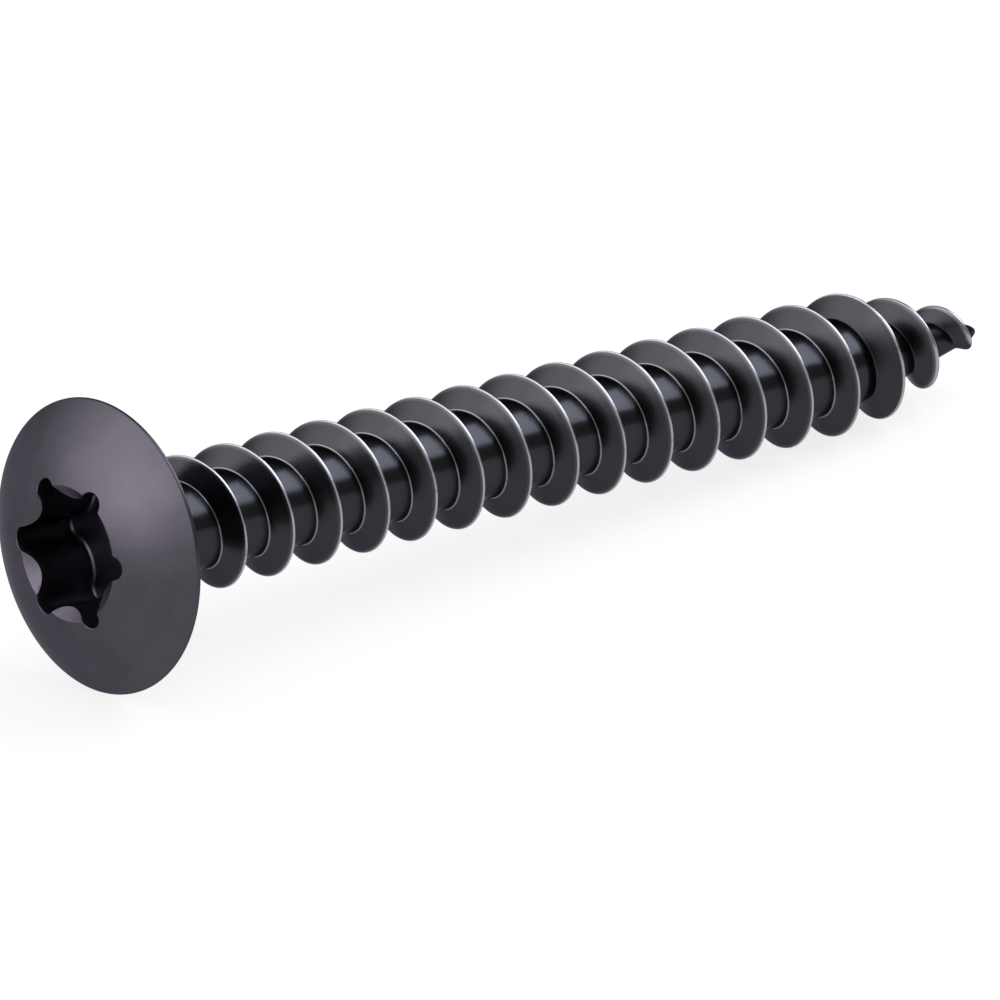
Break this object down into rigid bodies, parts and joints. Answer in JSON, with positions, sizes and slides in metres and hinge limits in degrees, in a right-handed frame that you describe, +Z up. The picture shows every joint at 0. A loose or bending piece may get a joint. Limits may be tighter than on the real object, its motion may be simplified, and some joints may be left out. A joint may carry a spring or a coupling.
{
  "type": "connector screw",
  "caption": "One piece screw with a wide domed head, six lobe recess, cone under the head, coarse sharp thread and a drawn out point.",
  "frame": {"origin": "centre of the bounding box in plan, at the surface the screw lies on", "axes": "+X along the screw from its head to its point, +Z up; the screw lies on its head's rim and its last full crest"},
  "size_m": [0.0434, 0.0106, 0.0106],
  "materials": {
    "dark_steel": "satin"
  },
  "bodies": {
    "root": {"screw": "dark_steel"}
  },
  "joints": []
}
